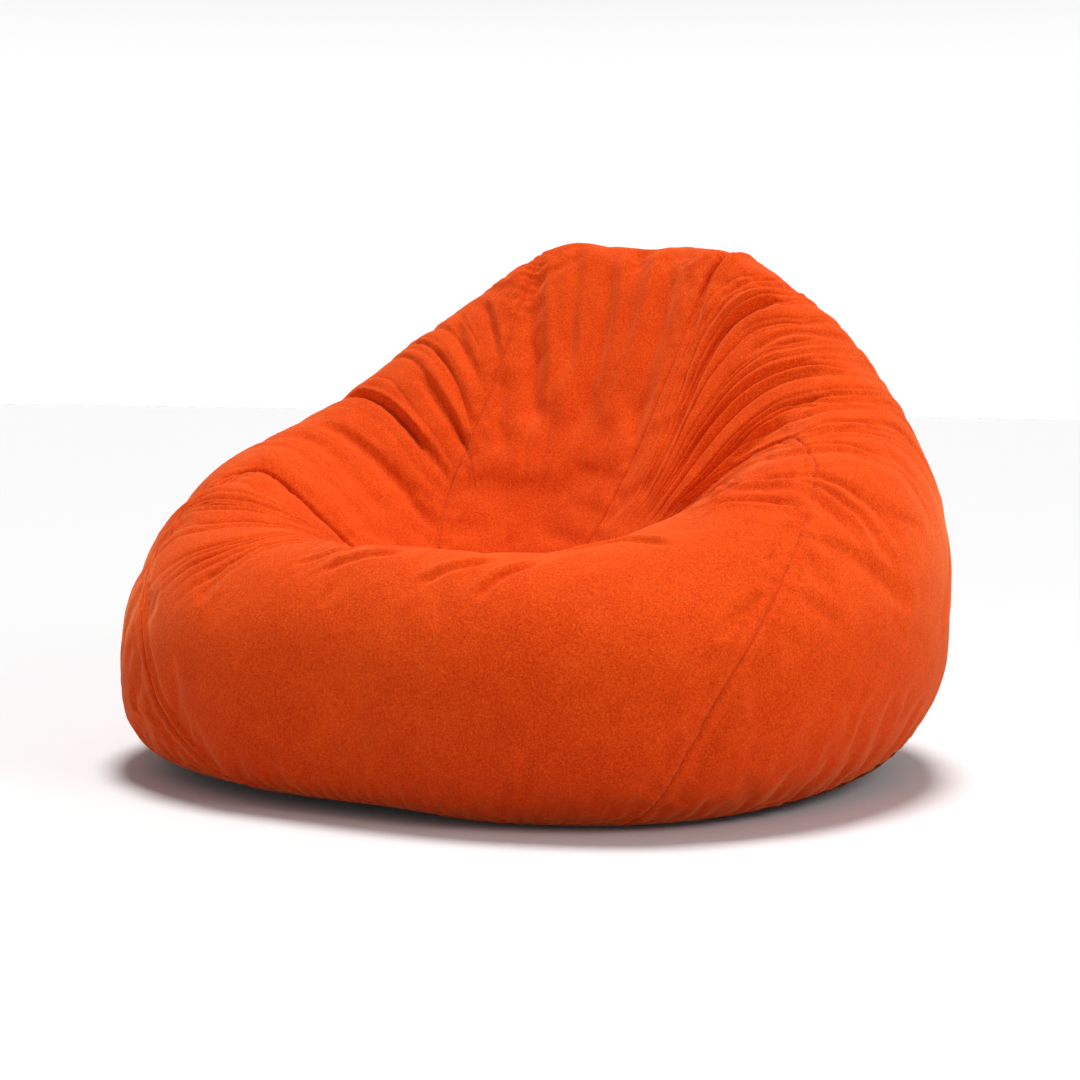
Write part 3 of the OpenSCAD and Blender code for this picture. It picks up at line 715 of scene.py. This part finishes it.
def make_filling(rows=90, columns=180):
    """The mass of beads, as the liner holds it."""
    angle, place = np.meshgrid(np.arange(columns) * 360.0 / columns, np.linspace(0.02, 0.985, rows))
    low = inner_layer(angle, place, LINER_DEPTH + LINER_T + 1)
    low += outward(angle.ravel(), place.ravel()) * (0.6 * cloudy(low, 0.012, 40))[:, None] * MM
    low[:, 2] = np.maximum(low[:, 2], (LINER_GAP + LINER_T + 1) * MM)
    k, j = np.meshgrid(np.arange(rows - 1), np.arange(columns), indexing="ij")
    here, right = (k * columns + j).ravel(), (k * columns + (j + 1) % columns).ravel()
    faces = np.stack([here, right, right + columns, here + columns], -1).tolist()
    foot, head = len(low), len(low) + 1
    low = np.vstack([low, low[:columns].mean(0), low[-columns:].mean(0)])
    top = (rows - 1) * columns
    for q in range(columns):
        w = (q + 1) % columns
        faces.append((foot, w, q))
        faces.append((head, top + q, top + w))
    return add_object("bead_mass", low, faces)


liner_halves = [make_liner("inner_liner_front", -90.0, 89.9), make_liner("inner_liner_rear", 90.0, 269.9)]
bead_mass_piece = make_filling()


def ring_faces(base, rings, sides):
    """Faces of a closed rod of rings, whose first vertex has the number base."""
    faces = []
    for r in range(rings - 1):
        low, high = base + r * sides, base + (r + 1) * sides
        for q in range(sides):
            w = (q + 1) % sides
            faces.append((low + q, low + w, high + w, high + q))
    faces.append(tuple(base + q for q in reversed(range(sides))))
    faces.append(tuple(base + (rings - 1) * sides + q for q in range(sides)))
    return faces


# ---------------------------------------------------------------- stitching
def stitch_row(name, angle, place, sideways=0.0, stitch=3.4, pitch=4.4, thick=0.42, sunk=0.15):
    """A row of separate stitches along a line on the cover. All sizes in mm."""
    centre = cover_surface(angle, place)
    lift = outward(np.ravel(angle), np.ravel(place))
    run = np.gradient(centre, axis=0)
    run /= np.linalg.norm(run, axis=1, keepdims=True)
    across = np.cross(lift, run)
    across /= np.linalg.norm(across, axis=1, keepdims=True)
    centre = centre + across * sideways * MM
    far = np.concatenate([[0], np.cumsum(np.linalg.norm(np.diff(centre, axis=0), axis=1))])
    count = int(far[-1] / (pitch * MM))
    steps = np.array([0.0, 0.12, 0.5, 0.88, 1.0])
    swell = np.array([0.35, 0.9, 1.0, 0.9, 0.35])
    height = np.array([-0.7, 0.1, 0.45, 0.1, -0.7]) - sunk
    sides = 6
    ring = 2 * math.pi * np.arange(sides) / sides
    verts, faces = [], []
    for k in range(count):
        at = (k * pitch + steps * stitch) * MM
        mid = np.stack([np.interp(at, far, centre[:, c]) for c in range(3)], -1)
        up = np.stack([np.interp(at, far, lift[:, c]) for c in range(3)], -1)
        side = np.stack([np.interp(at, far, across[:, c]) for c in range(3)], -1)
        base = len(verts) * len(steps) * sides
        loops = (mid + up * height[:, None] * MM)[:, None] + thick * MM * swell[:, None, None] * (
            side[:, None] * np.cos(ring)[None, :, None] + up[:, None] * np.sin(ring)[None, :, None])
        verts.append(loops.reshape(-1, 3))
        faces += ring_faces(base, len(steps), sides)
    return add_object(name, np.vstack(verts), faces)


def seam_stitches(name, seam):
    line = seam_line(seam, 700)
    return stitch_row(name, line[:, 0], line[:, 1])


seam_rows = [
    seam_stitches("front_left_seam_stitches", FRONT_LEFT),
    seam_stitches("front_right_seam_stitches", FRONT_RIGHT),
    seam_stitches("back_left_seam_stitches", BACK_LEFT),
    seam_stitches("back_right_seam_stitches", BACK_RIGHT),
]
around = np.linspace(ZIP_MID + ZIP_ANGLE / 2 + 3, ZIP_MID + 360 - ZIP_ANGLE / 2 - 3, 1400)
base_row = stitch_row("base_seam_stitches", around, turn_to_place(base_seam_turn(around)))
along_zip = np.linspace(ZIP_MID - ZIP_ANGLE / 2, ZIP_MID + ZIP_ANGLE / 2, 300)
zip_seam = base_seam_turn(along_zip)
zip_rows = [
    stitch_row("zip_stitches_upper", along_zip, turn_to_place(zip_seam + 13 / ZIP_RUN)),
    stitch_row("zip_stitches_lower", along_zip, turn_to_place(zip_seam - 13 / ZIP_RUN)),
]


# ---------------------------------------------------------------- zip
def zip_centre(angle):
    """Middle line of the zip with its unit vectors: along, up the cover and out of it."""
    q = base_seam_turn(angle)
    at = skin(angle, turn_to_place(q))
    up = skin(angle, turn_to_place(q + 0.5)) - skin(angle, turn_to_place(q - 0.5))
    up /= np.linalg.norm(up, axis=1, keepdims=True)
    along = np.gradient(at, axis=0)
    along -= up * np.sum(along * up, axis=1, keepdims=True)
    along /= np.linalg.norm(along, axis=1, keepdims=True)
    return at, along, up, np.cross(along, up)


def zip_coil(name, direction, shift):
    """One side of the zip's coil: a row of rounded teeth that hook past the middle."""
    pitch = 2.6
    count = int(math.radians(ZIP_ANGLE - 1.2) * ZIP_RADIUS / pitch)
    angle = ZIP_MID + np.degrees(((np.arange(count) - count / 2 + shift) * pitch) / ZIP_RADIUS)
    at, along, up, out = zip_centre(angle)
    outline = [(-0.75, 0.0), (-0.45, 0.42), (0.6, 0.5), (2.5, 0.34),
               (2.5, -0.34), (0.6, -0.5), (-0.45, -0.42)]
    verts, faces = [], []
    n = len(outline)
    for k in range(count):
        base = k * n * 3
        for level, length, thick in ((-6.2, 1.0, 1.6), (-4.9, 1.0, 2.0), (-4.1, 0.9, 1.1)):
            for reach, half in outline:
                tooth = up[k] * direction * reach * length + along[k] * half * thick + out[k] * level
                verts.append(at[k] + tooth * MM)
        faces += ring_faces(base, 3, n)
    return add_object(name, np.array(verts), faces, False)


zip_coils = [zip_coil("zip_coil_upper", 1, 0.0), zip_coil("zip_coil_lower", -1, 0.5)]


# ---------------------------------------------------------------- materials
class Value:
    """A socket that can be used in sums: each operator adds its Math node."""

    def __init__(self, tree, socket):
        self.tree, self.socket = tree, socket

    def maths(self, operation, other=None, first=None):
        node = self.tree.nodes.new("ShaderNodeMath")
        node.operation = operation
        pair = [self if first is None else first, self if first is not None else other]
        for place, value in enumerate(pair):
            if isinstance(value, Value):
                self.tree.links.new(value.socket, node.inputs[place])
            elif value is not None:
                node.inputs[place].default_value = value
        return Value(self.tree, node.outputs[0])

    def __add__(self, other):
        return self.maths("ADD", other)

    def __radd__(self, other):
        return self.maths("ADD", first=other)

    def __sub__(self, other):
        return self.maths("SUBTRACT", other)

    def __rsub__(self, other):
        return self.maths("SUBTRACT", first=other)

    def __mul__(self, other):
        return self.maths("MULTIPLY", other)

    def __rmul__(self, other):
        return self.maths("MULTIPLY", first=other)


class Finish:
    """One material and the nodes it is made of."""

    def __init__(self, name):
        self.material = bpy.data.materials.new(name)
        self.material.use_nodes = True
        self.tree = self.material.node_tree
        self.shader = self.tree.nodes["Principled BSDF"]

    def node(self, kind, settings=None, **sockets):
        node = self.tree.nodes.new(kind)
        for key, value in (settings or {}).items():
            if key == "stops":
                ramp = node.color_ramp
                while len(ramp.elements) > 1:
                    ramp.elements.remove(ramp.elements[-1])
                ramp.elements[0].position = value[0][0]
                ramp.elements[0].color = value[0][1]
                for position, colour in value[1:]:
                    ramp.elements.new(position).color = colour
            else:
                setattr(node, key, value)
        self.fill(node, sockets)
        return node

    def fill(self, node, sockets):
        """Set or link the inputs of a node: by name, or by number as i0, i1 and so on."""
        for key, value in sockets.items():
            numbered = key[0] == "i" and key[1:].isdigit()
            socket = node.inputs[int(key[1:]) if numbered else key.replace("_", " ")]
            if isinstance(value, Value):
                self.tree.links.new(value.socket, socket)
            else:
                socket.default_value = value

    def value(self, node, output=0):
        return Value(self.tree, node.outputs[output])

    def set(self, **sockets):
        self.fill(self.shader, sockets)

    def where(self):
        return self.value(self.node("ShaderNodeTexCoord"), 3)

    def noise(self, scale, detail=3.0, rough=0.6, where=None):
        n = self.node("ShaderNodeTexNoise", None, Vector=where or self.where(),
                      Scale=scale, Detail=detail, Roughness=rough)
        return self.value(n, 0)

    def bands(self, direction, scale, distortion, where):
        settings = {"wave_type": "BANDS", "bands_direction": direction}
        n = self.node("ShaderNodeTexWave", settings, Vector=where, Scale=scale, Distortion=distortion)
        return self.value(n, 0)

    def mix(self, factor, one, two):
        n = self.node("ShaderNodeMix", {"data_type": "RGBA"}, i0=factor, i6=one, i7=two)
        return self.value(n, 2)

    def bump(self, height, strength, distance):
        n = self.node("ShaderNodeBump", None, Height=height, Strength=strength, Distance=distance)
        return self.value(n, 0)


def colour(r, g, b):
    return (r, g, b, 1.0)


def velour(name, deep, body, light, sheen=0.33):
    """Brushed velour: short pile with a fine mottle, and painted shade that darkens it towards the floor."""
    f = Finish(name)
    where = f.where()
    nap = f.noise(7.0, 2.0, 0.5, where)
    patch = f.noise(30.0, 3.0, 0.6, where)
    pile = f.noise(430.0, 2.0, 0.6, where)
    fibre = f.noise(1100.0, 2.0, 0.7, where)
    tone = nap * 0.16 + patch * 0.2 + pile * 0.7 + fibre * 0.9 - 0.48
    stops = [(0.22, colour(*deep)), (0.5, colour(*body)), (0.8, colour(*light))]
    ramp = f.node("ShaderNodeValToRGB", {"stops": stops}, i0=tone)
    height = f.value(f.node("ShaderNodeSeparateXYZ", None, i0=where), 2)
    # Painted shade: below about 0.25 m the mottled colour is multiplied towards a dull red (0.60, 0.42,
    # 0.40), most at the floor.
    painted_floor_shade = f.value(f.node("ShaderNodeMapRange", {"interpolation_type": "SMOOTHSTEP"},
                              i0=height, i1=-0.03, i2=0.25, i3=1.0, i4=0.0))
    low = f.node("ShaderNodeMix", {"data_type": "RGBA", "blend_type": "MULTIPLY"},
                 i0=painted_floor_shade * 0.9, i6=f.value(ramp), i7=colour(0.60, 0.42, 0.40))
    rough = nap * 0.1 + pile * 0.12 + 0.78
    bump = f.bump(pile * 0.6 + fibre * 0.4 + patch * 0.5, 0.4, 0.0012)
    f.set(Base_Color=f.value(low, 2), Roughness=rough, Normal=bump, Specular_IOR_Level=0.06,
          Sheen_Weight=sheen, Sheen_Roughness=0.4, Sheen_Tint=colour(1.0, 0.46, 0.17))
    return f.material


def woven(name, one, two, pitch, rough=0.8, sheen=0.1):
    """Plain weave of two close shades; pitch is the distance between threads in metres."""
    f = Finish(name)
    where = f.where()
    warp = f.bands("DIAGONAL", 0.05 / pitch, 0.4, where)
    weft = f.bands("X", 0.05 / pitch, 0.4, where)
    cloth = warp * 0.5 + weft * 0.5
    wear = f.noise(60.0, 3.0, 0.6, where)
    f.set(Base_Color=f.mix(cloth * 0.7 + wear * 0.3, colour(*one), colour(*two)), Sheen_Weight=sheen,
          Roughness=wear * 0.15 + rough - 0.07, Normal=f.bump(cloth, 0.35, 0.0004))
    return f.material


def spun(name, one, two):
    """Sewing thread, with its twist."""
    f = Finish(name)
    where = f.where()
    twist = f.bands("DIAGONAL", 90.0, 1.0, where)
    fuzz = f.noise(700.0, 2.0, 0.6, where)
    f.set(Base_Color=f.mix(twist * 0.5 + fuzz * 0.5, colour(*one), colour(*two)), Specular_IOR_Level=0.12,
          Roughness=fuzz * 0.2 + 0.55, Normal=f.bump(twist, 0.3, 0.0002))
    return f.material


def satin_metal(name, tint):
    """Plated zinc with fine rubbing marks."""
    f = Finish(name)
    where = f.where()
    rub = f.noise(260.0, 3.0, 0.7, where)
    dull = f.noise(40.0, 2.0, 0.5, where)
    f.set(Base_Color=f.mix(dull, colour(*tint), colour(*(c * 0.8 for c in tint))), Metallic=1.0,
          Roughness=rub * 0.18 + 0.22, Normal=f.bump(rub, 0.08, 0.0002))
    return f.material


def moulded(name, tint):
    """Nylon or plastic with a faint unevenness."""
    f = Finish(name)
    where = f.where()
    grain = f.noise(400.0, 2.0, 0.5, where)
    f.set(Base_Color=f.mix(grain, colour(*tint), colour(*(c * 0.75 for c in tint))),
          Roughness=grain * 0.15 + 0.35, Normal=f.bump(grain, 0.1, 0.0002))
    return f.material


def bead_mass(name):
    """Expanded polystyrene beads packed together, with painted shade darkening the gaps between them."""
    f = Finish(name)
    where = f.where()
    beads = f.node("ShaderNodeTexVoronoi", None, Vector=where, Scale=260.0)
    gap = f.value(beads, 0)
    # Painted shade: the white is mixed towards grey at the edges of each bead, in the gaps between them.
    f.set(Base_Color=f.mix(gap, colour(0.86, 0.86, 0.84), colour(0.6, 0.6, 0.58)),
          Roughness=gap * 0.2 + 0.6, Normal=f.bump(1 - gap, 0.8, 0.003))
    return f.material


VELOUR = velour("orange velour", (0.47, 0.026, 0.001), (0.71, 0.057, 0.003), (0.91, 0.120, 0.012))
BASE_CLOTH = velour("base cloth", (0.12, 0.006, 0.003), (0.20, 0.011, 0.004), (0.29, 0.020, 0.007), 0.1)
THREAD = spun("orange thread", (0.62, 0.060, 0.008), (0.85, 0.16, 0.035))
ZIP_TAPE = woven("zip tape", (0.42, 0.022, 0.004), (0.58, 0.040, 0.007), 0.0011)
ZIP_NYLON = moulded("zip nylon", (0.50, 0.030, 0.006))
ZIP_METAL = satin_metal("zip metal", (0.72, 0.70, 0.68))
LABEL = woven("label satin", (0.80, 0.79, 0.76), (0.88, 0.87, 0.85), 0.0005, 0.45)
LINER = woven("liner cloth", (0.62, 0.61, 0.58), (0.74, 0.73, 0.70), 0.0009)
HOOK = woven("hook and loop strip", (0.05, 0.05, 0.05), (0.12, 0.12, 0.12), 0.0016)
BEADS = bead_mass("polystyrene beads")


def finish_piece(obj, material, body="cover", nodes=()):
    obj.data.materials.clear()
    obj.data.materials.append(material)
    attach(obj, body)
    if nodes:
        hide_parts(*nodes)
    return obj


for panel, node in zip(cover_panels, ("front_panel", "right_panel", "back_panel", "left_panel")):
    finish_piece(panel, VELOUR, "cover", [node])
finish_piece(base_cover, BASE_CLOTH, "cover", ["base_panel"])
for row, node in zip(seam_rows, ("front_left_seam_thread", "front_right_seam_thread",
                                 "back_left_seam_thread", "back_right_seam_thread")):
    finish_piece(row, THREAD, "cover", [node])
finish_piece(base_row, THREAD, "cover", ["base_seam_thread"])
finish_piece(zip_rows[0], THREAD, "cover", ["zip_stitching"])
finish_piece(zip_rows[1], THREAD, "cover", ())
finish_piece(zip_coils[0], ZIP_NYLON, "cover", ["zip_teeth_upper"])
finish_piece(zip_coils[1], ZIP_NYLON, "cover", ["zip_teeth_lower"])
for half, node in zip(liner_halves, ("liner_front_half", "liner_rear_half")):
    finish_piece(half, LINER, "cover", [node])
finish_piece(bead_mass_piece, BEADS, "cover", ["bead_filling"])
CAD_FINISH = {
    "zip_tape_upper": ZIP_TAPE, "zip_tape_lower": ZIP_TAPE, "zip_slider": ZIP_METAL,
    "zip_pull_tab": ZIP_METAL, "zip_stop_closed_end": ZIP_METAL, "zip_stop_open_end": ZIP_METAL,
    "care_label": LABEL, "liner_base": LINER, "liner_hook_strip": HOOK, "liner_loop_strip": HOOK,
}
for node, material in CAD_FINISH.items():
    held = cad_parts[node]
    if not held.material_slots:
        held.data.materials.append(None)
    for place_in_list in held.material_slots:
        place_in_list.link = "OBJECT"
        place_in_list.material = material


# ---------------------------------------------------------------- stage, light and camera
def studio():
    floor_z = cad_box[0][2] - 0.0005
    size = 14.0
    corners = [(-size, -size, floor_z), (size, -size, floor_z), (size, size, floor_z), (-size, size, floor_z)]
    floor = add_object("studio_floor", corners, [(0, 1, 2, 3)], False)
    f = Finish("studio floor")
    f.set(Base_Color=colour(0.70, 0.70, 0.70), Roughness=0.9, Specular_IOR_Level=0.1)
    floor.data.materials.append(f.material)
    world = bpy.data.worlds.new("studio light")
    bpy.context.scene.world = world
    world.use_nodes = True
    nodes, links = world.node_tree.nodes, world.node_tree.links
    where = nodes.new("ShaderNodeTexCoord")
    split = nodes.new("ShaderNodeSeparateXYZ")
    rise = nodes.new("ShaderNodeMapRange")
    rise.interpolation_type = "SMOOTHSTEP"
    for socket, value in zip(range(1, 5), (0.12, 0.30, 1.0, 0.30)):
        rise.inputs[socket].default_value = value
    links.new(where.outputs[0], split.inputs[0])
    links.new(split.outputs[2], rise.inputs[0])
    links.new(rise.outputs[0], nodes["Background"].inputs[1])
    nodes["Background"].inputs[0].default_value = colour(1.0, 1.0, 1.0)

    def softbox(name, place, aim, size, power, tint=(1, 1, 1)):
        lamp = bpy.data.lights.new(name, "AREA")
        lamp.energy, lamp.size, lamp.color = power, size, tint
        obj = bpy.data.objects.new(name, lamp)
        obj.location = place
        obj.rotation_euler = (Vector(aim) - Vector(place)).to_track_quat("-Z", "Y").to_euler()
        bpy.context.scene.collection.objects.link(obj)

    sky = bpy.data.lights.new("broad overhead light", "SUN")
    sky.energy, sky.angle = 3.38, math.radians(18)
    hung = bpy.data.objects.new("broad overhead light", sky)
    hung.rotation_euler = Vector((-0.06, 0.20, 1.0)).to_track_quat("Z", "Y").to_euler()
    bpy.context.scene.collection.objects.link(hung)
    softbox("right softbox", (2.3, -0.6, 1.5), (0.1, -0.05, 0.3), 1.0, 20)


def camera():
    cam = bpy.data.cameras.new("camera")
    obj = bpy.data.objects.new("camera", cam)
    bpy.context.scene.collection.objects.link(obj)
    turn, rise, distance = math.radians(30), math.radians(6), 2.615
    back = Vector((math.sin(turn) * math.cos(rise), -math.cos(turn) * math.cos(rise), math.sin(rise)))
    right = Vector((math.cos(turn), math.sin(turn), 0))
    up = back.cross(right)
    seat = Vector((0, SEAT_LINE_Y * MM, 0.224))
    obj.location = seat + back * distance
    cam.sensor_width = 36.0
    cam.lens = 73.2
    cam.clip_end = 100.0
    aim = seat + right * 0.054 + up * 0.052
    obj.rotation_euler = (aim - obj.location).to_track_quat("-Z", "Y").to_euler()
    bpy.context.scene.camera = obj


studio()
camera()
bpy.context.scene.view_settings.view_transform = "Standard"
